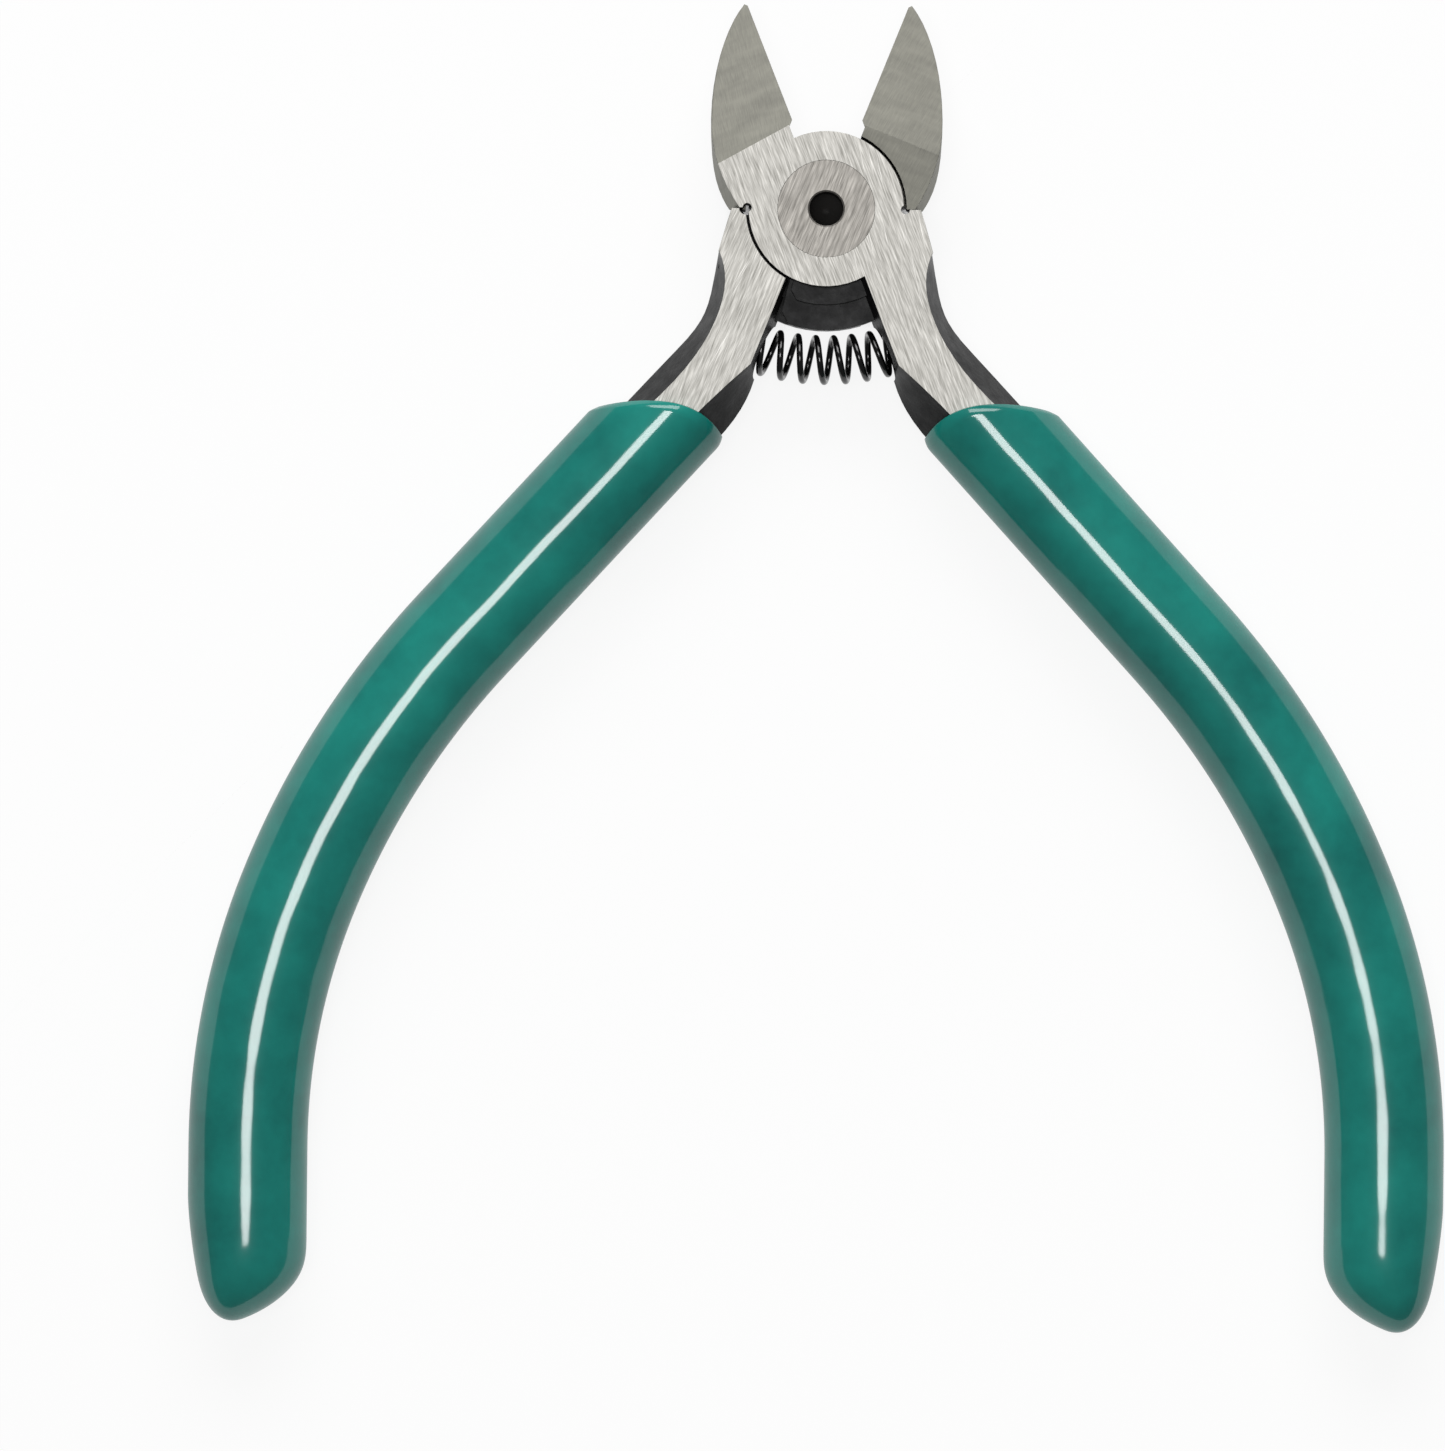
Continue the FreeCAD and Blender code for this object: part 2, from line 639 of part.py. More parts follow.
def check_and_write(doc, pieces):
    """Refuse a failed object or a bad solid, then write one file per piece."""
    for item in doc.Objects:
        if "Invalid" in item.State or "Error" in item.State:
            raise RuntimeError("%s failed: %s" % (item.Label, item.State))
    for piece in pieces:
        shape = piece.Shape
        if shape.isNull() or not shape.isValid() or len(shape.Solids) != 1:
            raise RuntimeError("%s is not one valid solid" % piece.Label)
    os.makedirs("parts", exist_ok=True)
    for piece in pieces:
        piece.Shape.exportStep("parts/%s.step" % piece.Label)
        print("%-14s %8.1f mm3" % (piece.Label, piece.Shape.Volume))


document = FreeCAD.newDocument("flush_cutter")
dims = make_sheet(document)
built = [
    build_lever(document, "right_lever", dims, 1, 1),
    build_lever(document, "left_lever", dims, -1, -1),
    build_rivet(document, dims),
    build_grip(document, "right_grip", dims, 1),
    build_grip(document, "left_grip", dims, -1),
    build_spring(document, dims),
]
document.recompute()
check_and_write(document, built)
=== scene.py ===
import math

import bpy
from mathutils import Matrix, Vector


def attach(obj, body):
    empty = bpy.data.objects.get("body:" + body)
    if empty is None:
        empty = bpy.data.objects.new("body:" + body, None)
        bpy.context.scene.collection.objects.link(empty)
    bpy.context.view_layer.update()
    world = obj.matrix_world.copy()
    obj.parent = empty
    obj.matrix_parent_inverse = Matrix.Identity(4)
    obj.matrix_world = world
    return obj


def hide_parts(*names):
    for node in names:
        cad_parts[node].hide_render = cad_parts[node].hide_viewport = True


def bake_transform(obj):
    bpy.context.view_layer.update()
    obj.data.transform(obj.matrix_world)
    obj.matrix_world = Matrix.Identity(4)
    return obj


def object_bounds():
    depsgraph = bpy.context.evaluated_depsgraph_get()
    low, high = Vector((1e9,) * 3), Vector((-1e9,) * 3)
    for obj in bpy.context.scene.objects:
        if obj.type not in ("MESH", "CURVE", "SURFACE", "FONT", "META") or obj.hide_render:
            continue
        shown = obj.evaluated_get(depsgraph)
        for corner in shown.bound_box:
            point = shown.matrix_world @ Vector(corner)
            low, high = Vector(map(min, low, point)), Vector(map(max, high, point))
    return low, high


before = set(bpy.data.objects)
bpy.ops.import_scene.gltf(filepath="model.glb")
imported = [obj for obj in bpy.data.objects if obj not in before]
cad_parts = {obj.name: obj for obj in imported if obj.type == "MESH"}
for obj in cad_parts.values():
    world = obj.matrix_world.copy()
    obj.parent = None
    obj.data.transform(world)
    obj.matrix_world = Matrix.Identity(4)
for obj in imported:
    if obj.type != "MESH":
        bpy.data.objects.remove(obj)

cad_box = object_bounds()

# ------------------------------------------------------------------ levers
# Two drop-forged chrome vanadium steel levers, lapped at the joint. The front
# and back of joint and arms are ground flat on a belt, the jaws are ground
# finer, and the black oxide of the hardening stays on every forged flank.

HALF_OPENING = math.radians(21.5)
# In millimetres, as the steel's patterns are. The jaw's steel starts a little
# outside the disc on the faces, and farther out on the walls.
JOINT_THICKNESS = 7.2
DISC_RADIUS = 6.0
JAW_FACE_START = 0.05
JAW_WALL_START = 0.65
STOP_HEIGHT = -0.9
GROUND_DEPTH = 0.003
# In metres, as all meshes are.
LEVER_ARRIS = 0.00005
SCALE_DEPTH = 0.00006
SCRATCH_DEPTH = 0.000004


def linear(code):
    """An sRGB hex colour as the linear RGBA that the shaders take."""
    parts = [int(code[i:i + 2], 16) / 255 for i in (1, 3, 5)]
    return [p / 12.92 if p <= 0.04045 else ((p + 0.055) / 1.055) ** 2.4 for p in parts] + [1]


def add(tree, kind, inputs=None, **settings):
    """Add one node with its settings, and set or link its inputs."""
    made = tree.nodes.new(kind)
    for name, value in settings.items():
        setattr(made, name, value)
    for name, value in (inputs or {}).items():
        if isinstance(value, bpy.types.NodeSocket):
            tree.links.new(value, made.inputs[name])
        else:
            made.inputs[name].default_value = value
    return made


def start_material(name):
    """An empty node material and its tree."""
    material = bpy.data.materials.new(name)
    material.use_nodes = True
    material.node_tree.nodes.clear()
    return material, material.node_tree


def belt_scratches(tree, place, across, along):
    """Streaks with a width and a length in millimetres, laid along Y."""
    scaled = add(
        tree,
        "ShaderNodeVectorMath",
        {0: place, 1: (1 / across, 1 / along, 0)},
        operation="MULTIPLY",
    )
    noise = add(
        tree,
        "ShaderNodeTexNoise",
        {"Vector": scaled.outputs[0], "Scale": 1, "Detail": 2, "Roughness": 0.6},
    )
    return noise.outputs["Fac"]


def forged_and_ground_steel(name, lean, side):
    """Chrome vanadium steel: streaked light faces, grey blades, black flanks."""
    material, tree = start_material(name)
    place = add(tree, "ShaderNodeTexCoord")
    # Millimetres, turned so that Y runs along this lever.
    own = add(
        tree,
        "ShaderNodeMapping",
        {"Vector": place.outputs["Object"], "Rotation": (0, 0, -lean), "Scale": (1000, 1000, 1000)},
    ).outputs[0]
    spot = add(tree, "ShaderNodeSeparateXYZ", {0: own})
    facing = add(tree, "ShaderNodeSeparateXYZ", {0: place.outputs["Normal"]})

    # The belt-ground level: the flats of the front and the back.
    height = add(
        tree,
        "ShaderNodeMath",
        {0: spot.outputs["Z"], 1: JOINT_THICKNESS / 2},
        operation="SUBTRACT",
    )
    level = add(tree, "ShaderNodeMath", {0: height.outputs[0]}, operation="ABSOLUTE")
    level = add(
        tree,
        "ShaderNodeMath",
        {0: level.outputs[0], 1: JOINT_THICKNESS / 2 - GROUND_DEPTH},
        operation="GREATER_THAN",
    )
    outward = add(tree, "ShaderNodeMath", {0: facing.outputs["Z"]}, operation="ABSOLUTE")
    outward = add(
        tree, "ShaderNodeMath", {0: outward.outputs[0], 1: 0.9}, operation="GREATER_THAN"
    )
    ground = add(
        tree,
        "ShaderNodeMath",
        {0: level.outputs[0], 1: outward.outputs[0]},
        operation="MULTIPLY",
    )

    # The jaw: outside the joint disc and above the stops. Its walls begin
    # farther out, as the corner of each stop keeps its black skin.
    flat_spot = add(
        tree, "ShaderNodeVectorMath", {0: own, 1: (1, 1, 0)}, operation="MULTIPLY"
    )
    radius = add(
        tree, "ShaderNodeVectorMath", {0: flat_spot.outputs[0]}, operation="LENGTH"
    )
    begins = add(
        tree,
        "ShaderNodeMath",
        {
            0: outward.outputs[0],
            1: JAW_FACE_START - JAW_WALL_START,
            2: DISC_RADIUS + JAW_WALL_START,
        },
        operation="MULTIPLY_ADD",
    )
    outside = add(
        tree,
        "ShaderNodeMath",
        {0: radius.outputs["Value"], 1: begins.outputs[0]},
        operation="GREATER_THAN",
    )
    above = add(
        tree, "ShaderNodeMath", {0: spot.outputs["Y"], 1: STOP_HEIGHT}, operation="GREATER_THAN"
    )
    jaw = add(
        tree,
        "ShaderNodeMath",
        {0: outside.outputs[0], 1: above.outputs[0]},
        operation="MULTIPLY",
    )
    steel = add(
        tree, "ShaderNodeMath", {0: ground.outputs[0], 1: jaw.outputs[0]}, operation="MAXIMUM"
    )
    # The jaw's root is belted with the disc only where this lever carries it.
    discless = add(
        tree,
        "ShaderNodeMath",
        {0: height.outputs[0], 1: -side},
        operation="MULTIPLY",
    )
    discless = add(
        tree, "ShaderNodeMath", {0: discless.outputs[0], 1: 0}, operation="GREATER_THAN"
    )
    bare = add(
        tree,
        "ShaderNodeMath",
        {0: discless.outputs[0], 1: jaw.outputs[0]},
        operation="MULTIPLY",
    )
    bare = add(tree, "ShaderNodeMath", {0: 1, 1: bare.outputs[0]}, operation="SUBTRACT")
    belted = add(
        tree,
        "ShaderNodeMath",
        {0: ground.outputs[0], 1: bare.outputs[0]},
        operation="MULTIPLY",
    )

    # Belt grit of about 150: fine scratches 0.1 mm wide and 1.5 mm long over
    # broader ones, and a few long ones that cross them, painted near white as glints of light.
    fine = belt_scratches(tree, own, 0.10, 1.5)
    coarse = belt_scratches(tree, own, 0.17, 2.8)
    skew = add(tree, "ShaderNodeVectorRotate", {"Vector": own, "Angle": math.radians(9)})
    crossed = belt_scratches(tree, skew.outputs[0], 0.13, 5.0)
    streaks = add(tree, "ShaderNodeMath", {0: fine, 1: coarse}, operation="ADD")
    streaks = add(
        tree,
        "ShaderNodeMapRange",
        {"Value": streaks.outputs[0], "From Min": 0.6, "From Max": 1.4},
    )
    painted_glints = add(
        tree,
        "ShaderNodeMapRange",
        {"Value": crossed, "From Min": 0.64, "From Max": 0.76},
    )
    face_colour = add(
        tree,
        "ShaderNodeMix",
        {"Factor": streaks.outputs[0], "A": linear("#8f8d87"), "B": linear("#dedcd7")},
        data_type="RGBA",
    )
    # Painted highlight: the crossing scratches are coloured near white, as glints of light.
    face_colour = add(
        tree,
        "ShaderNodeMix",
        {
            "Factor": painted_glints.outputs[0],
            "A": face_colour.outputs["Result"],
            "B": linear("#f0eeea"),
        },
        data_type="RGBA",
    )

    # The finer wheel of the blades leaves soft bands instead of streaks.
    bands = belt_scratches(tree, own, 5.0, 1.1)
    wheel = belt_scratches(tree, skew.outputs[0], 0.07, 1.2)
    blade_mark = add(tree, "ShaderNodeMath", {0: bands, 1: wheel}, operation="ADD")
    blade_mark = add(
        tree,
        "ShaderNodeMapRange",
        {"Value": blade_mark.outputs[0], "From Min": 0.7, "From Max": 1.3},
    )
    blade_colour = add(
        tree,
        "ShaderNodeMix",
        {"Factor": blade_mark.outputs[0], "A": linear("#7f7e77"), "B": linear("#939289")},
        data_type="RGBA",
    )
    bright = add(
        tree,
        "ShaderNodeMix",
        {
            "Factor": belted.outputs[0],
            "A": blade_colour.outputs["Result"],
            "B": face_colour.outputs["Result"],
        },
        data_type="RGBA",
    )

    # Black oxide over the forged skin: a dull black, mottled every 1.5 mm.
    skin = add(
        tree,
        "ShaderNodeTexNoise",
        {"Vector": own, "Scale": 0.7, "Detail": 6, "Roughness": 0.62},
    )
    blotches = add(
        tree,
        "ShaderNodeMapRange",
        {"Value": skin.outputs["Fac"], "From Min": 0.35, "From Max": 0.65},
    )
    oxide = add(
        tree,
        "ShaderNodeMix",
        {"Factor": blotches.outputs[0], "A": linear("#040405"), "B": linear("#1d1d1e")},
        data_type="RGBA",
    )
    skin_roughness = add(
        tree, "ShaderNodeMapRange", {"Value": blotches.outputs[0], "To Min": 0.47, "To Max": 0.39}
    )
    colour = add(
        tree,
        "ShaderNodeMix",
        {
            "Factor": steel.outputs[0],
            "A": oxide.outputs["Result"],
            "B": bright.outputs["Result"],
        },
        data_type="RGBA",
    )

    steel_roughness = add(
        tree,
        "ShaderNodeMapRange",
        {"Value": streaks.outputs[0], "To Min": 0.63, "To Max": 0.57},
    )
    roughness = add(
        tree,
        "ShaderNodeMix",
        {
            "Factor": steel.outputs[0],
            "A": skin_roughness.outputs[0],
            "B": steel_roughness.outputs[0],
        },
        data_type="FLOAT",
    )
    face_relief = add(
        tree,
        "ShaderNodeMix",
        {"Factor": belted.outputs[0], "A": wheel, "B": streaks.outputs[0]},
        data_type="FLOAT",
    )
    relief = add(
        tree,
        "ShaderNodeMix",
        {
            "Factor": steel.outputs[0],
            "A": skin.outputs["Fac"],
            "B": face_relief.outputs["Result"],
        },
        data_type="FLOAT",
    )
    depth = add(
        tree,
        "ShaderNodeMix",
        {"Factor": steel.outputs[0], "A": SCALE_DEPTH, "B": SCRATCH_DEPTH},
        data_type="FLOAT",
    )
    # Every arris is broken a little by the belt.
    arris = add(tree, "ShaderNodeBevel", {"Radius": LEVER_ARRIS}, samples=6)
    bump = add(
        tree,
        "ShaderNodeBump",
        {
            "Strength": 1.0,
            "Distance": depth.outputs["Result"],
            "Height": relief.outputs["Result"],
            "Normal": arris.outputs[0],
        },
    )
    shader = add(
        tree,
        "ShaderNodeBsdfPrincipled",
        {
            "Base Color": colour.outputs["Result"],
            "Metallic": steel.outputs[0],
            "Roughness": roughness.outputs["Result"],
            "Specular IOR Level": 0.16,
            "Normal": bump.outputs[0],
        },
    )
    add(tree, "ShaderNodeOutputMaterial", {"Surface": shader.outputs[0]})
    return material


for node_name, side in (("right_lever", 1), ("left_lever", -1)):
    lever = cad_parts[node_name]
    lever.data.materials.clear()
    steel = forged_and_ground_steel(node_name + "_steel", side * HALF_OPENING, side)
    lever.data.materials.append(steel)

# ------------------------------------------------------------------- rivet
# A steel rivet, headed at both ends and belt-ground flush with the joint,
# after the levers were. Its blind centre hole is left black from hardening.

# The hole's floor and wall are black from this depth on, in millimetres.
BRIGHT_DEPTH = 0.15
RIVET_ARRIS = 0.00002


def flush_ground_rivet_steel(lean):
    """A shade darker than the levers, and streaked at its own angle."""
    material, tree = start_material("flush_ground_rivet_steel")
    place = add(tree, "ShaderNodeTexCoord")
    own = add(
        tree,
        "ShaderNodeMapping",
        {"Vector": place.outputs["Object"], "Rotation": (0, 0, -lean), "Scale": (1000, 1000, 1000)},
    ).outputs[0]
    spot = add(tree, "ShaderNodeSeparateXYZ", {0: own})
    height = add(
        tree,
        "ShaderNodeMath",
        {0: spot.outputs["Z"], 1: JOINT_THICKNESS / 2},
        operation="SUBTRACT",
    )
    level = add(tree, "ShaderNodeMath", {0: height.outputs[0]}, operation="ABSOLUTE")
    ground = add(
        tree,
        "ShaderNodeMath",
        {0: level.outputs[0], 1: JOINT_THICKNESS / 2 - BRIGHT_DEPTH},
        operation="GREATER_THAN",
    )
    fine = belt_scratches(tree, own, 0.10, 1.6)
    coarse = belt_scratches(tree, own, 0.19, 3.2)
    streaks = add(tree, "ShaderNodeMath", {0: fine, 1: coarse}, operation="ADD")
    streaks = add(
        tree,
        "ShaderNodeMapRange",
        {"Value": streaks.outputs[0], "From Min": 0.65, "From Max": 1.35},
    )
    face = add(
        tree,
        "ShaderNodeMix",
        {"Factor": streaks.outputs[0], "A": linear("#7c7974"), "B": linear("#bdb9b3")},
        data_type="RGBA",
    )
    colour = add(
        tree,
        "ShaderNodeMix",
        {"Factor": ground.outputs[0], "A": linear("#1f1d1b"), "B": face.outputs["Result"]},
        data_type="RGBA",
    )
    roughness = add(
        tree,
        "ShaderNodeMapRange",
        {"Value": streaks.outputs[0], "To Min": 0.62, "To Max": 0.56},
    )
    arris = add(tree, "ShaderNodeBevel", {"Radius": RIVET_ARRIS}, samples=6)
    bump = add(
        tree,
        "ShaderNodeBump",
        {
            "Strength": 1.0,
            "Distance": SCRATCH_DEPTH,
            "Height": streaks.outputs[0],
            "Normal": arris.outputs[0],
        },
    )
    shader = add(
        tree,
        "ShaderNodeBsdfPrincipled",
        {
            "Base Color": colour.outputs["Result"],
            "Metallic": ground.outputs[0],
            "Roughness": roughness.outputs[0],
            "Normal": bump.outputs[0],
        },
    )
    add(tree, "ShaderNodeOutputMaterial", {"Surface": shader.outputs[0]})
    return material


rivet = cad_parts["pivot_rivet"]
rivet.data.materials.clear()
rivet.data.materials.append(flush_ground_rivet_steel(-HALF_OPENING))

# ----------------------------------------------------------- return spring
# Music wire, 0.5 mm thick, coiled right-hand with two closed ends, blackened
# and oiled. It is bowed between blind seats in the arms' inner flanks.

MIDDLE_HEIGHT = JOINT_THICKNESS / 2000
COIL_RADIUS = 0.00170
WIRE_RADIUS = 0.00025
FREE_PITCH = 0.00153
CLOSED_PITCH = 0.00058
# The seats lie this far below the rivet, and their floors this far from the
# centre plane when the tool is closed. The coil clears each floor a little.
SEAT_DROP = 0.012
SEAT_DEPTH = 0.0023
SEAT_FLOOR_GAP = 0.00029
POINTS_PER_TURN = 40


def oiled_spring_wire():
    """Glossy black: the oxide shows almost only by its oil film's highlights."""
    material, tree = start_material("oiled_spring_wire")
    place = add(tree, "ShaderNodeTexCoord")
    # Drawing marks along the wire are finer than the render, so only the
    # oil's patches, about 0.6 mm across, are drawn.
    oil = add(
        tree,
        "ShaderNodeTexNoise",
        {"Vector": place.outputs["Object"], "Scale": 1600, "Detail": 3},
    )
    roughness = add(
        tree,
        "ShaderNodeMapRange",
        {"Value": oil.outputs["Fac"], "To Min": 0.08, "To Max": 0.24},
    )
    shader = add(
        tree,
        "ShaderNodeBsdfPrincipled",
        {
            "Base Color": linear("#070707"),
            "Roughness": roughness.outputs[0],
            "IOR": 1.6,
        },
    )
    add(tree, "ShaderNodeOutputMaterial", {"Surface": shader.outputs[0]})
    return material


def helix_tree():
    """Geometry nodes: a coil of round wire along an arc of a circle."""
    tree = bpy.data.node_groups.new("bowed_coil", "GeometryNodeTree")
    tree.interface.new_socket("Geometry", in_out="INPUT", socket_type="NodeSocketGeometry")
    for name in ("Coil Radius", "Wire Radius", "Turns", "Pitch", "Closed Pitch"):
        tree.interface.new_socket(name, in_out="INPUT", socket_type="NodeSocketFloat")
    for name in ("Start", "Bow Radius", "Bow Centre", "Height"):
        tree.interface.new_socket(name, in_out="INPUT", socket_type="NodeSocketFloat")
    tree.interface.new_socket("Material", in_out="INPUT", socket_type="NodeSocketMaterial")
    tree.interface.new_socket("Geometry", in_out="OUTPUT", socket_type="NodeSocketGeometry")
    given = add(tree, "NodeGroupInput").outputs

    count = add(
        tree, "ShaderNodeMath", {0: given["Turns"], 1: POINTS_PER_TURN}, operation="MULTIPLY"
    )
    points = add(tree, "GeometryNodeMeshLine", {"Count": count.outputs[0]})
    index = add(tree, "GeometryNodeInputIndex")
    turn = add(
        tree,
        "ShaderNodeMath",
        {0: index.outputs[0], 1: POINTS_PER_TURN},
        operation="DIVIDE",
    )
    turn = turn.outputs[0]
    # The first and the last turn are closed, the others open.
    opened = add(tree, "ShaderNodeMath", {0: given["Turns"], 1: 1}, operation="SUBTRACT")
    middle_turn = add(
        tree,
        "ShaderNodeClamp",
        {"Value": turn, "Min": 1, "Max": opened.outputs[0]},
    )
    free = add(
        tree, "ShaderNodeMath", {0: middle_turn.outputs[0], 1: 1}, operation="SUBTRACT"
    )
    shut = add(tree, "ShaderNodeMath", {0: turn, 1: free.outputs[0]}, operation="SUBTRACT")
    run = add(
        tree,
        "ShaderNodeMath",
        {0: shut.outputs[0], 1: given["Closed Pitch"], 2: given["Start"]},
        operation="MULTIPLY_ADD",
    )
    run = add(
        tree,
        "ShaderNodeMath",
        {0: free.outputs[0], 1: given["Pitch"], 2: run.outputs[0]},
        operation="MULTIPLY_ADD",
    )
    bow = add(
        tree, "ShaderNodeMath", {0: run.outputs[0], 1: given["Bow Radius"]}, operation="DIVIDE"
    )
    half = add(tree, "ShaderNodeMath", {0: given["Turns"], 1: 2}, operation="DIVIDE")
    phase = add(tree, "ShaderNodeMath", {0: turn, 1: half.outputs[0]}, operation="SUBTRACT")
    phase = add(
        tree,
        "ShaderNodeMath",
        {0: phase.outputs[0], 1: 2 * math.pi, 2: math.pi},
        operation="MULTIPLY_ADD",
    )
    rise = add(tree, "ShaderNodeMath", {0: phase.outputs[0]}, operation="COSINE")
    rise = add(
        tree,
        "ShaderNodeMath",
        {0: rise.outputs[0], 1: given["Coil Radius"]},
        operation="MULTIPLY",
    )
    reach = add(
        tree,
        "ShaderNodeMath",
        {0: given["Bow Radius"], 1: rise.outputs[0]},
        operation="SUBTRACT",
    )
    sine = add(tree, "ShaderNodeMath", {0: bow.outputs[0]}, operation="SINE")
    x = add(
        tree, "ShaderNodeMath", {0: reach.outputs[0], 1: sine.outputs[0]}, operation="MULTIPLY"
    )
    cosine = add(tree, "ShaderNodeMath", {0: bow.outputs[0]}, operation="COSINE")
    y = add(
        tree, "ShaderNodeMath", {0: reach.outputs[0], 1: cosine.outputs[0]}, operation="MULTIPLY"
    )
    y = add(
        tree, "ShaderNodeMath", {0: given["Bow Centre"], 1: y.outputs[0]}, operation="SUBTRACT"
    )
    z = add(tree, "ShaderNodeMath", {0: phase.outputs[0]}, operation="SINE")
    z = add(
        tree,
        "ShaderNodeMath",
        {0: z.outputs[0], 1: given["Coil Radius"], 2: given["Height"]},
        operation="MULTIPLY_ADD",
    )
    place = add(
        tree, "ShaderNodeCombineXYZ", {0: x.outputs[0], 1: y.outputs[0], 2: z.outputs[0]}
    )
    placed = add(
        tree,
        "GeometryNodeSetPosition",
        {"Geometry": points.outputs[0], "Position": place.outputs[0]},
    )
    line = add(tree, "GeometryNodeMeshToCurve", {0: placed.outputs[0]})
    section = add(
        tree, "GeometryNodeCurvePrimitiveCircle", {"Resolution": 16, "Radius": given["Wire Radius"]}
    )
    wire = add(
        tree,
        "GeometryNodeCurveToMesh",
        {"Curve": line.outputs[0], "Profile Curve": section.outputs[0], "Fill Caps": True},
    )
    smooth = add(tree, "GeometryNodeSetShadeSmooth", {0: wire.outputs[0]})
    real = add(tree, "GeometryNodeRealizeInstances", {0: smooth.outputs[0]})
    dressed = add(
        tree,
        "GeometryNodeSetMaterial",
        {"Geometry": real.outputs[0], "Material": given["Material"]},
    )
    add(tree, "NodeGroupOutput", {0: dressed.outputs[0]})
    return tree


def grow(name, source, tree, values):
    """Run a node tree on a mesh and keep its result as a plain mesh object."""
    base = bpy.data.objects.new(name + "_base", source)
    bpy.context.scene.collection.objects.link(base)
    modifier = base.modifiers.new("shape", "NODES")
    modifier.node_group = tree
    for item in tree.interface.items_tree:
        if item.in_out == "INPUT" and item.name in values:
            modifier[item.identifier] = values[item.name]
    graph = bpy.context.evaluated_depsgraph_get()
    mesh = bpy.data.meshes.new_from_object(base.evaluated_get(graph))
    base.modifiers.remove(modifier)
    bpy.data.objects.remove(base)
    piece = bpy.data.objects.new(name, mesh)
    bpy.context.scene.collection.objects.link(piece)
    return piece


# Each arm stands at half of the opening. The coil's line leaves both seat
# floors square to them and bows between, on an arc of one circle.
seat_floor = Matrix.Rotation(HALF_OPENING, 3, "Z") @ Vector((SEAT_DEPTH, -SEAT_DROP, 0))
bow_radius = seat_floor.x / math.sin(HALF_OPENING)
bow_centre = seat_floor.y + bow_radius * math.cos(HALF_OPENING)
bow_length = 2 * bow_radius * HALF_OPENING
open_turns = (bow_length - 2 * SEAT_FLOOR_GAP - 2 * CLOSED_PITCH) / FREE_PITCH
spring = grow(
    "coil_spring",
    bpy.data.meshes.new("coil_spring_source"),
    helix_tree(),
    {
        "Coil Radius": COIL_RADIUS,
        "Wire Radius": WIRE_RADIUS,
        "Turns": open_turns + 2,
        "Pitch": FREE_PITCH,
        "Closed Pitch": CLOSED_PITCH,
        "Start": SEAT_FLOOR_GAP - bow_length / 2,
        "Bow Radius": bow_radius,
        "Bow Centre": bow_centre,
        "Height": MIDDLE_HEIGHT,
        "Material": oiled_spring_wire(),
    },
)
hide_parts("return_spring")
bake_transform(spring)

# ----------------------------------------------------------- handle sleeves
# Teal plastisol (vinyl), built up by dipping each hot tang. It is thickest on
# a soft ridge along the front and back, ends in a slanted blunt tip, and its
# mouth is cut at an angle with a rounded lip.

# The handle's centre line: its lean and widest point, the bends above and
# below that point, and the straight tail.
SLEEVE_RADIUS = 0.00462
HANDLE_LEAN = math.radians(20.9)
HANDLE_BOW = 0.01805
HANDLE_BOW_DROP = 0.0642
UPPER_BEND = 0.065
LOWER_BEND = 0.054
TAIL_LEAN = math.radians(21.5)
TAIL_LENGTH = 0.0134
MOUTH_DROP = 0.01757
RING_POINTS = 152
RING_CROWDING = 0.36
CREST_WIDTH = 0.26
RIM_RUN = 0.0009
MOUTH_CUT_START = 0.003
SLANT_RUN = 0.012
TIP_FULLNESS = 0.45
TAPER_STRETCH = 1.9
TAPER_POWER = 1.5
WELD_DISTANCE = 0.000004
# How far each step of the rolled lip goes in, and how far out of the mouth.
LIP_STEPS = ((0.00016, 0.00005), (0.00024, -0.00002), (0.0005, -0.0001), (0.0001, -0.0016))


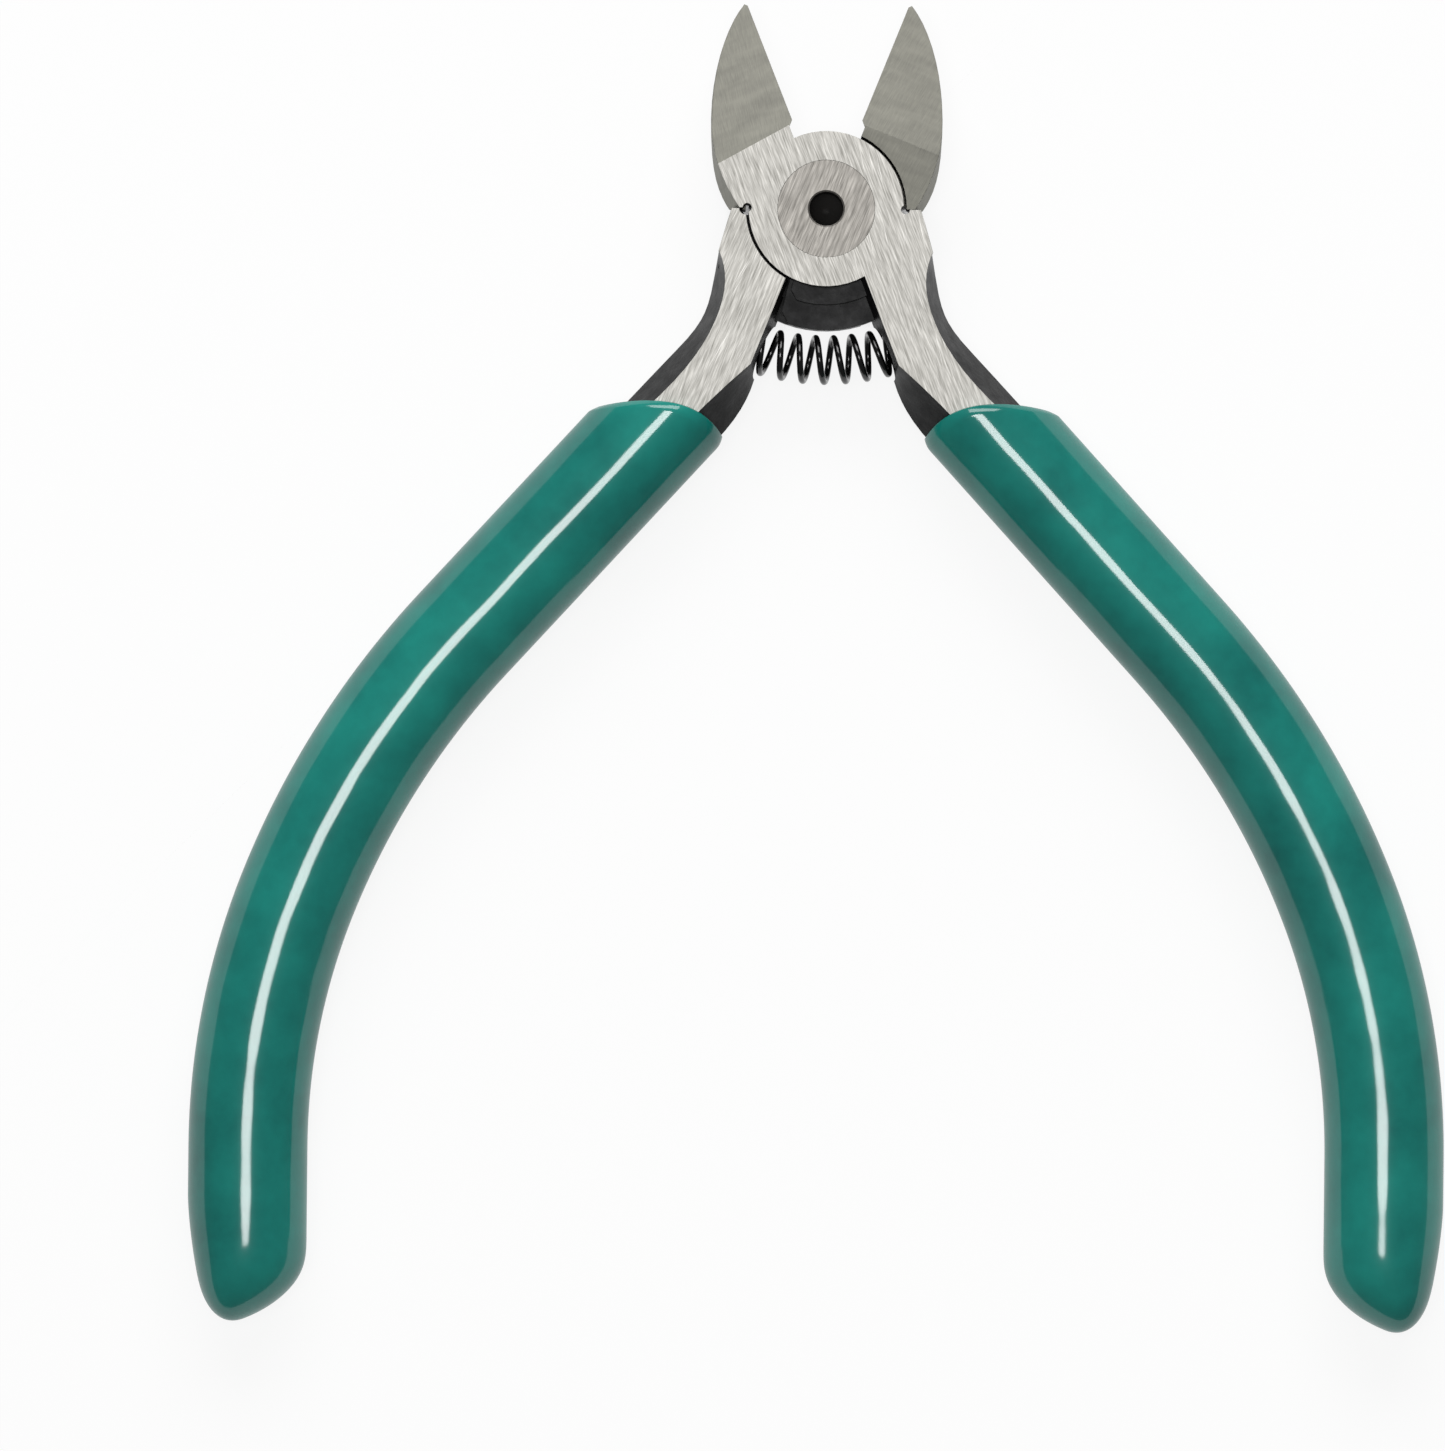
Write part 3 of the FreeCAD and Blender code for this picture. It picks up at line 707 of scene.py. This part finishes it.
def dipped_vinyl():
    """Glossy and faintly uneven, so its highlight is crisp but not ruled."""
    material, tree = start_material("dipped_vinyl")
    place = add(tree, "ShaderNodeTexCoord").outputs["Object"]
    # Pigment settles in clouds about 9 mm across, with specks near 0.5 mm.
    clouds = add(
        tree, "ShaderNodeTexNoise", {"Vector": place, "Scale": 110, "Detail": 5, "Roughness": 0.6}
    )
    pigment = add(
        tree,
        "ShaderNodeMapRange",
        {"Value": clouds.outputs["Fac"], "From Min": 0.3, "From Max": 0.7},
    )
    colour = add(
        tree,
        "ShaderNodeMix",
        {"Factor": pigment.outputs[0], "A": linear("#09665f"), "B": linear("#178a7e")},
        data_type="RGBA",
    )
    # Sag of the dipped film, 7 mm from crest to crest, and orange peel of 1 mm.
    sag = add(tree, "ShaderNodeTexNoise", {"Vector": place, "Scale": 140, "Detail": 1})
    peel = add(tree, "ShaderNodeTexNoise", {"Vector": place, "Scale": 1000, "Detail": 2})
    broad = add(
        tree, "ShaderNodeBump", {"Strength": 1.0, "Distance": 0.00012, "Height": sag.outputs["Fac"]}
    )
    bump = add(
        tree,
        "ShaderNodeBump",
        {
            "Strength": 1.0,
            "Distance": 0.000004,
            "Height": peel.outputs["Fac"],
            "Normal": broad.outputs[0],
        },
    )
    haze = add(
        tree,
        "ShaderNodeMapRange",
        {"Value": clouds.outputs["Fac"], "To Min": 0.3, "To Max": 0.46},
    )
    # The film is glossy over a duller body. Its thin strong coat keeps the lamp's
    # line crisp and the board's reflection along the edges faint.
    shader = add(
        tree,
        "ShaderNodeBsdfPrincipled",
        {
            "Base Color": colour.outputs["Result"],
            "Roughness": haze.outputs[0],
            "IOR": 1.5,
            "Specular IOR Level": 0.1,
            "Coat Weight": 0.28,
            "Coat Roughness": 0.1,
            "Coat IOR": 2.4,
            "Coat Normal": broad.outputs[0],
            "Normal": bump.outputs[0],
        },
    )
    add(tree, "ShaderNodeOutputMaterial", {"Surface": shader.outputs[0]})
    return material


def sleeve_tree():
    """Geometry nodes: a ridged tube on a line, with its mouth and its tip."""
    tree = bpy.data.node_groups.new("dipped_sleeve", "GeometryNodeTree")
    tree.interface.new_socket("Geometry", in_out="INPUT", socket_type="NodeSocketGeometry")
    for name in ("Radius", "Side", "Ridge", "Mouth Slant", "Mouth Run"):
        tree.interface.new_socket(name, in_out="INPUT", socket_type="NodeSocketFloat")
    for name in ("Tip Run", "Tip Slant", "Tip Taper", "Lip"):
        tree.interface.new_socket(name, in_out="INPUT", socket_type="NodeSocketFloat")
    tree.interface.new_socket("Material", in_out="INPUT", socket_type="NodeSocketMaterial")
    tree.interface.new_socket("Geometry", in_out="OUTPUT", socket_type="NodeSocketGeometry")
    given = add(tree, "NodeGroupInput").outputs

    line = add(tree, "GeometryNodeMeshToCurve", {0: given["Geometry"]})
    where = add(tree, "GeometryNodeSplineParameter")
    total = add(tree, "GeometryNodeSplineLength")
    heading = add(tree, "GeometryNodeInputTangent")
    centre = add(tree, "GeometryNodeInputPosition")
    kept = add(tree, "GeometryNodeCaptureAttribute", {0: line.outputs[0]})
    for kind, name, socket in (
        ("FLOAT", "along", where.outputs["Length"]),
        ("FLOAT", "total", total.outputs["Length"]),
        ("VECTOR", "heading", heading.outputs[0]),
        ("VECTOR", "centre", centre.outputs[0]),
    ):
        kept.capture_items.new(kind, name)
        tree.links.new(socket, kept.inputs[name])
    along, heading, centre = (kept.outputs[n] for n in ("along", "heading", "centre"))

    ring = add(
        tree, "GeometryNodeCurvePrimitiveCircle", {"Resolution": RING_POINTS, "Radius": 0.001}
    )
    round_the_ring = add(tree, "GeometryNodeSplineParameter")
    ring_kept = add(tree, "GeometryNodeCaptureAttribute", {0: ring.outputs[0]})
    ring_kept.capture_items.new("FLOAT", "round")
    tree.links.new(round_the_ring.outputs["Factor"], ring_kept.inputs["round"])
    tube = add(
        tree,
        "GeometryNodeCurveToMesh",
        {"Curve": kept.outputs[0], "Profile Curve": ring_kept.outputs[0]},
    )

    # A round section whose front and back rise to a soft ridge. The ridge is
    # sharpest at the mouth, flattens soon and is gone at the tip.
    angle = add(
        tree,
        "ShaderNodeMath",
        {0: ring_kept.outputs["round"], 1: 2 * math.pi},
        operation="MULTIPLY",
    )
    # The ring's points crowd towards the two ridges.
    crowd = add(tree, "ShaderNodeMath", {0: angle.outputs[0], 1: 2}, operation="MULTIPLY")
    crowd = add(tree, "ShaderNodeMath", {0: crowd.outputs[0]}, operation="SINE")
    angle = add(
        tree,
        "ShaderNodeMath",
        {0: crowd.outputs[0], 1: RING_CROWDING, 2: angle.outputs[0]},
        operation="MULTIPLY_ADD",
    )
    outwards = add(tree, "ShaderNodeMath", {0: angle.outputs[0]}, operation="COSINE").outputs[0]
    upwards = add(tree, "ShaderNodeMath", {0: angle.outputs[0]}, operation="SINE").outputs[0]
    off_crest = add(tree, "ShaderNodeMath", {0: outwards, 1: CREST_WIDTH}, operation="DIVIDE")
    off_crest = add(tree, "ShaderNodeMath", {0: off_crest.outputs[0], 1: 2}, operation="POWER")
    off_crest = add(
        tree, "ShaderNodeMath", {0: off_crest.outputs[0], 1: -1}, operation="MULTIPLY"
    )
    crest = add(tree, "ShaderNodeMath", {0: off_crest.outputs[0]}, operation="EXPONENT")
    flank = add(tree, "ShaderNodeMath", {0: 1, 1: crest.outputs[0]}, operation="SUBTRACT")
    ridge = add(
        tree,
        "ShaderNodeMapRange",
        {"Value": along, "From Max": kept.outputs["total"], "To Min": 1, "To Max": 0},
    )
    ridge = add(tree, "ShaderNodeMath", {0: ridge.outputs[0], 1: 2}, operation="POWER")
    ridge = add(
        tree, "ShaderNodeMath", {0: ridge.outputs[0], 1: given["Ridge"]}, operation="MULTIPLY"
    )
    drop = add(
        tree, "ShaderNodeMath", {0: flank.outputs[0], 1: ridge.outputs[0]}, operation="MULTIPLY"
    )
    share = add(tree, "ShaderNodeMath", {0: 1, 1: drop.outputs[0]}, operation="SUBTRACT")
    upwards = add(
        tree, "ShaderNodeMath", {0: upwards, 1: share.outputs[0]}, operation="MULTIPLY"
    ).outputs[0]

    # The tip's rounding: blunt in its width, and longer over the crests.
    left = add(
        tree,
        "ShaderNodeMath",
        {0: kept.outputs["total"], 1: along},
        operation="SUBTRACT",
    )
    falls = []
    for stretch, bluntness in ((1.0, 3.2), (1.15, 2.3)):
        reach = add(
            tree, "ShaderNodeMath", {0: given["Tip Run"], 1: stretch}, operation="MULTIPLY"
        )
        tip = add(
            tree,
            "ShaderNodeMapRange",
            {"Value": left.outputs[0], "From Min": reach.outputs[0], "From Max": 0},
        )
        fall = add(tree, "ShaderNodeMath", {0: tip.outputs[0], 1: bluntness}, operation="POWER")
        fall = add(tree, "ShaderNodeMath", {0: 1, 1: fall.outputs[0]}, operation="SUBTRACT")
        fall = add(tree, "ShaderNodeMath", {0: fall.outputs[0], 1: 0}, operation="MAXIMUM")
        fall = add(
            tree, "ShaderNodeMath", {0: fall.outputs[0], 1: TIP_FULLNESS}, operation="POWER"
        )
        falls.append(fall)
    # The mouth's rim turns in by the lip over a short run.
    rim = add(
        tree,
        "ShaderNodeMapRange",
        {"Value": along, "From Min": RIM_RUN, "From Max": 0},
    )
    rim = add(tree, "ShaderNodeMath", {0: rim.outputs[0], 1: 2}, operation="POWER")
    rim = add(
        tree, "ShaderNodeMath", {0: rim.outputs[0], 1: given["Lip"]}, operation="MULTIPLY"
    )
    radii = []
    for fall in falls:
        radius = add(
            tree,
            "ShaderNodeMath",
            {0: given["Radius"], 1: fall.outputs[0]},
            operation="MULTIPLY",
        )
        radius = add(
            tree,
            "ShaderNodeMath",
            {0: radius.outputs[0], 1: rim.outputs[0]},
            operation="SUBTRACT",
        )
        radii.append(radius.outputs[0])

    # The side away from the palm tapers towards the tip.
    early = add(
        tree, "ShaderNodeMath", {0: given["Tip Run"], 1: TAPER_STRETCH}, operation="MULTIPLY"
    )
    taper = add(
        tree,
        "ShaderNodeMapRange",
        {"Value": left.outputs[0], "From Min": early.outputs[0], "From Max": 0},
    )
    taper = add(
        tree, "ShaderNodeMath", {0: taper.outputs[0], 1: TAPER_POWER}, operation="POWER"
    )
    outer = add(tree, "ShaderNodeMath", {0: outwards, 1: 0}, operation="MAXIMUM")
    taper = add(
        tree, "ShaderNodeMath", {0: taper.outputs[0], 1: outer.outputs[0]}, operation="MULTIPLY"
    )
    taper = add(
        tree,
        "ShaderNodeMath",
        {0: taper.outputs[0], 1: given["Tip Taper"]},
        operation="MULTIPLY",
    )
    taper = add(tree, "ShaderNodeMath", {0: 1, 1: taper.outputs[0]}, operation="SUBTRACT")
    across = add(tree, "ShaderNodeMath", {0: outwards, 1: radii[0]}, operation="MULTIPLY")
    across = add(
        tree, "ShaderNodeMath", {0: across.outputs[0], 1: taper.outputs[0]}, operation="MULTIPLY"
    ).outputs[0]
    up = add(tree, "ShaderNodeMath", {0: upwards, 1: radii[1]}, operation="MULTIPLY").outputs[0]

    # The mouth is cut back on the outer side, and the tip on the palm side.
    cut = add(tree, "ShaderNodeMath", {0: across, 1: MOUTH_CUT_START}, operation="ADD")
    cut = add(tree, "ShaderNodeMath", {0: cut.outputs[0], 1: 2}, operation="POWER")
    cut = add(
        tree,
        "ShaderNodeMath",
        {0: cut.outputs[0], 1: given["Mouth Slant"]},
        operation="MULTIPLY",
    )
    near_mouth = add(
        tree,
        "ShaderNodeMapRange",
        {"Value": along, "From Min": given["Mouth Run"], "From Max": 0},
    )
    slant = add(
        tree,
        "ShaderNodeMath",
        {0: across, 1: given["Tip Slant"]},
        operation="MULTIPLY",
    )
    near_tip = add(
        tree,
        "ShaderNodeMapRange",
        {"Value": left.outputs[0], "From Min": SLANT_RUN, "From Max": 0},
    )
    slant = add(
        tree, "ShaderNodeMath", {0: slant.outputs[0], 1: near_tip.outputs[0]}, operation="MULTIPLY"
    )
    shift = add(
        tree,
        "ShaderNodeMath",
        {0: cut.outputs[0], 1: near_mouth.outputs[0], 2: slant.outputs[0]},
        operation="MULTIPLY_ADD",
    )

    # Put each point beside, above and along its place on the line.
    outward = add(
        tree,
        "ShaderNodeVectorMath",
        {0: (0, 0, 1), 1: heading},
        operation="CROSS_PRODUCT",
    )
    outward = add(
        tree,
        "ShaderNodeVectorMath",
        {0: outward.outputs[0], "Scale": given["Side"]},
        operation="SCALE",
    )
    beside = add(
        tree,
        "ShaderNodeVectorMath",
        {0: outward.outputs[0], "Scale": across},
        operation="SCALE",
    )
    forward = add(
        tree,
        "ShaderNodeVectorMath",
        {0: heading, "Scale": shift.outputs[0]},
        operation="SCALE",
    )
    lifted = add(tree, "ShaderNodeCombineXYZ", {2: up})
    place = add(
        tree,
        "ShaderNodeVectorMath",
        {0: centre, 1: beside.outputs[0]},
        operation="ADD",
    )
    place = add(
        tree,
        "ShaderNodeVectorMath",
        {0: place.outputs[0], 1: forward.outputs[0]},
        operation="ADD",
    )
    place = add(
        tree,
        "ShaderNodeVectorMath",
        {0: place.outputs[0], 1: lifted.outputs[0]},
        operation="ADD",
    )
    shaped = add(
        tree,
        "GeometryNodeSetPosition",
        {"Geometry": tube.outputs[0], "Position": place.outputs[0]},
    )

    # The lip: the mouth's open edge is drawn in and then back along the tang.
    inward = add(
        tree,
        "ShaderNodeVectorMath",
        {0: beside.outputs[0], 1: lifted.outputs[0]},
        operation="ADD",
    )
    inward = add(
        tree, "ShaderNodeVectorMath", {0: inward.outputs[0]}, operation="NORMALIZE"
    )
    border = add(tree, "GeometryNodeInputMeshEdgeNeighbors")
    open_edge = add(
        tree,
        "FunctionNodeCompare",
        {"A": border.outputs[0], "B": 1},
        data_type="INT",
        operation="EQUAL",
    )
    at_mouth = add(
        tree,
        "FunctionNodeCompare",
        {"A": along, "B": given["Mouth Run"]},
        data_type="FLOAT",
        operation="LESS_THAN",
    )
    chosen = add(
        tree,
        "FunctionNodeBooleanMath",
        {0: open_edge.outputs[0], 1: at_mouth.outputs[0]},
        operation="AND",
    )
    solid = shaped
    for draw_in, draw_out in LIP_STEPS:
        inwards = add(
            tree,
            "ShaderNodeVectorMath",
            {0: inward.outputs[0], "Scale": -draw_in},
            operation="SCALE",
        )
        endwards = add(
            tree,
            "ShaderNodeVectorMath",
            {0: heading, "Scale": -draw_out},
            operation="SCALE",
        )
        both = add(
            tree,
            "ShaderNodeVectorMath",
            {0: inwards.outputs[0], 1: endwards.outputs[0]},
            operation="ADD",
        )
        solid = add(
            tree,
            "GeometryNodeExtrudeMesh",
            {
                "Mesh": solid.outputs[0],
                "Selection": chosen.outputs[0],
                "Offset": both.outputs[0],
                "Offset Scale": 1,
            },
            mode="EDGES",
        )
    closed = add(
        tree,
        "GeometryNodeMergeByDistance",
        {"Geometry": solid.outputs[0], "Distance": WELD_DISTANCE},
    )
    smooth = add(tree, "GeometryNodeSetShadeSmooth", {0: closed.outputs[0]})
    real = add(tree, "GeometryNodeRealizeInstances", {0: smooth.outputs[0]})
    dressed = add(
        tree,
        "GeometryNodeSetMaterial",
        {"Geometry": real.outputs[0], "Material": given["Material"]},
    )
    add(tree, "NodeGroupOutput", {0: dressed.outputs[0]})
    return tree


def handle_line(side):
    """The tang's centre line at rest: a run, two arcs and a run."""

    def on_bend(bend, turn):
        reach = bend * math.cos(turn)
        return Vector((HANDLE_BOW - bend + reach, -HANDLE_BOW_DROP + bend * math.sin(turn), 0))

    upper = on_bend(UPPER_BEND, HANDLE_LEAN)
    lower = on_bend(LOWER_BEND, -TAIL_LEAN)
    start = upper + Vector((-math.tan(HANDLE_LEAN), 1, 0)) * (-upper.y - MOUTH_DROP)
    tail = Vector((-math.sin(TAIL_LEAN), -math.cos(TAIL_LEAN), 0)) * TAIL_LENGTH
    # Rings lie close where the rim rolls in and wider along the straight run,
    # then even round both bends, and close again where the tip rounds off.
    rolled = 0.05
    line = [start.lerp(upper, rolled * (step / 18) ** 1.5) for step in range(19)]
    line += [start.lerp(upper, rolled + (1 - rolled) * step / 30) for step in range(1, 30)]
    line += [on_bend(UPPER_BEND, HANDLE_LEAN * (1 - step / 30)) for step in range(30)]
    line += [on_bend(LOWER_BEND, -TAIL_LEAN * step / 26) for step in range(26)]
    line += [lower + tail * (1 - (1 - step / 60) ** 1.7) for step in range(61)]
    turn = Matrix.Rotation(side * HALF_OPENING, 3, "Z")
    lift = Vector((0, 0, MIDDLE_HEIGHT))
    return [turn @ Vector((side * p.x, p.y, 0)) + lift for p in line]


vinyl = dipped_vinyl()
sleeve_nodes = sleeve_tree()
for side, name, node_name, body in (
    (1, "right_sleeve", "right_grip", "right_half"),
    (-1, "left_sleeve", "left_grip", "left_half"),
):
    line = handle_line(side)
    source = bpy.data.meshes.new(name + "_line")
    source.from_pydata(line, [(i, i + 1) for i in range(len(line) - 1)], [])
    sleeve = grow(
        name,
        source,
        sleeve_nodes,
        {
            "Radius": SLEEVE_RADIUS,
            "Side": float(side),
            "Ridge": 0.012,
            "Mouth Slant": 94.0,
            "Mouth Run": 0.010,
            "Tip Run": 0.0052,
            "Tip Slant": 0.42,
            "Tip Taper": 0.4,
            "Lip": 0.0003,
            "Material": vinyl,
        },
    )
    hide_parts(node_name)
    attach(sleeve, body)

# ------------------------------------------------- bench, lamps and camera
# A white bench board under the tool, which keeps a faint shadow. A long lamp
# over the tool draws the line along the sleeves, and a broad one stands
# beyond the jaws. The camera looks straight down on the ground faces.

BOARD_HALF = 1.5
BOARD_GAP = 0.00005
BOARD_GLOW = 0.88
CONTACT_REACH = 0.004

corners = ((-1, -1), (1, -1), (1, 1), (-1, 1))
board_top = cad_box[0].z - BOARD_GAP
floor_mesh = bpy.data.meshes.new("bench_board")
floor_mesh.from_pydata(
    [(x * BOARD_HALF, y * BOARD_HALF, board_top) for x, y in corners], [], [(0, 1, 2, 3)]
)
bench = bpy.data.objects.new("bench_board", floor_mesh)
bpy.context.scene.collection.objects.link(bench)

board, tree = start_material("white_bench_board")
ray = add(tree, "ShaderNodeLightPath").outputs
seen = add(
    tree,
    "ShaderNodeMath",
    {0: ray["Is Camera Ray"], 1: ray["Is Glossy Ray"]},
    operation="MAXIMUM",
)
seen = add(
    tree,
    "ShaderNodeMath",
    {0: seen.outputs[0], 1: ray["Is Transmission Ray"]},
    operation="MAXIMUM",
)
# Painted contact shadow: where the tool all but touches the board, ambient occlusion paints the
# board's colour dark and takes away its glow.
open_sky = add(tree, "ShaderNodeAmbientOcclusion", {"Distance": CONTACT_REACH}, samples=8)
open_sky = add(
    tree,
    "ShaderNodeMapRange",
    {"Value": open_sky.outputs["AO"], "From Min": 0.1, "From Max": 0.35},
)
share = add(
    tree, "ShaderNodeMath", {0: seen.outputs[0], 1: open_sky.outputs[0]}, operation="MULTIPLY"
)
share = add(tree, "ShaderNodeMath", {0: share.outputs[0], 1: BOARD_GLOW}, operation="MULTIPLY")
# The board's colour: white in the open, painted dark as contact shadow.
white = add(
    tree,
    "ShaderNodeMix",
    {"Factor": open_sky.outputs[0], "A": linear("#101010"), "B": linear("#fafafa")},
    data_type="RGBA",
)
matt = add(tree, "ShaderNodeBsdfDiffuse", {"Color": white.outputs["Result"]})
glow = add(tree, "ShaderNodeEmission", {"Color": (1, 1, 1, 1), "Strength": 1})
mixed = add(
    tree, "ShaderNodeMixShader", {0: share.outputs[0], 1: matt.outputs[0], 2: glow.outputs[0]}
)
add(tree, "ShaderNodeOutputMaterial", {"Surface": mixed.outputs[0]})
floor_mesh.materials.append(board)

world = bpy.data.worlds.new("soft_room")
world.use_nodes = True
world.node_tree.nodes.clear()
sky = add(world.node_tree, "ShaderNodeBackground", {"Color": (1, 1, 1, 1), "Strength": 0.13})
add(world.node_tree, "ShaderNodeOutputWorld", {"Surface": sky.outputs[0]})
bpy.context.scene.world = world

for name, spot, tilt, shape, size, watts in (
    ("long_lamp", (-0.06, -0.03, 1.0), 0, "ELLIPSE", (0.40, 0.28), 3.5),
    ("broad_lamp", (0.0, 0.6, 0.55), -49.5, "RECTANGLE", (0.7, 0.45), 5.3),
):
    lamp_data = bpy.data.lights.new(name, "AREA")
    lamp_data.shape = shape
    lamp_data.size = size[0]
    lamp_data.size_y = size[1]
    lamp_data.energy = watts
    lamp = bpy.data.objects.new(name, lamp_data)
    lamp.location = spot
    lamp.rotation_euler = (math.radians(tilt), 0, 0)
    lamp.visible_camera = False
    bpy.context.scene.collection.objects.link(lamp)

# The view's longer side shows 112.6 mm, and is turned by 0.6 degrees.
half_view = 0.0563
camera_data = bpy.data.cameras.new("overhead_camera")
camera_data.lens = 240
camera_data.sensor_width = 36
distance = half_view * camera_data.lens / (camera_data.sensor_width / 2)
camera = bpy.data.objects.new("overhead_camera", camera_data)
camera.location = (-0.0076, -0.04, MIDDLE_HEIGHT + distance)
camera.rotation_euler = (0, 0, math.radians(0.6))
camera_data.clip_start = 0.05
camera_data.clip_end = 10
bpy.context.scene.collection.objects.link(camera)
bpy.context.scene.camera = camera
bpy.context.scene.view_settings.view_transform = "Standard"
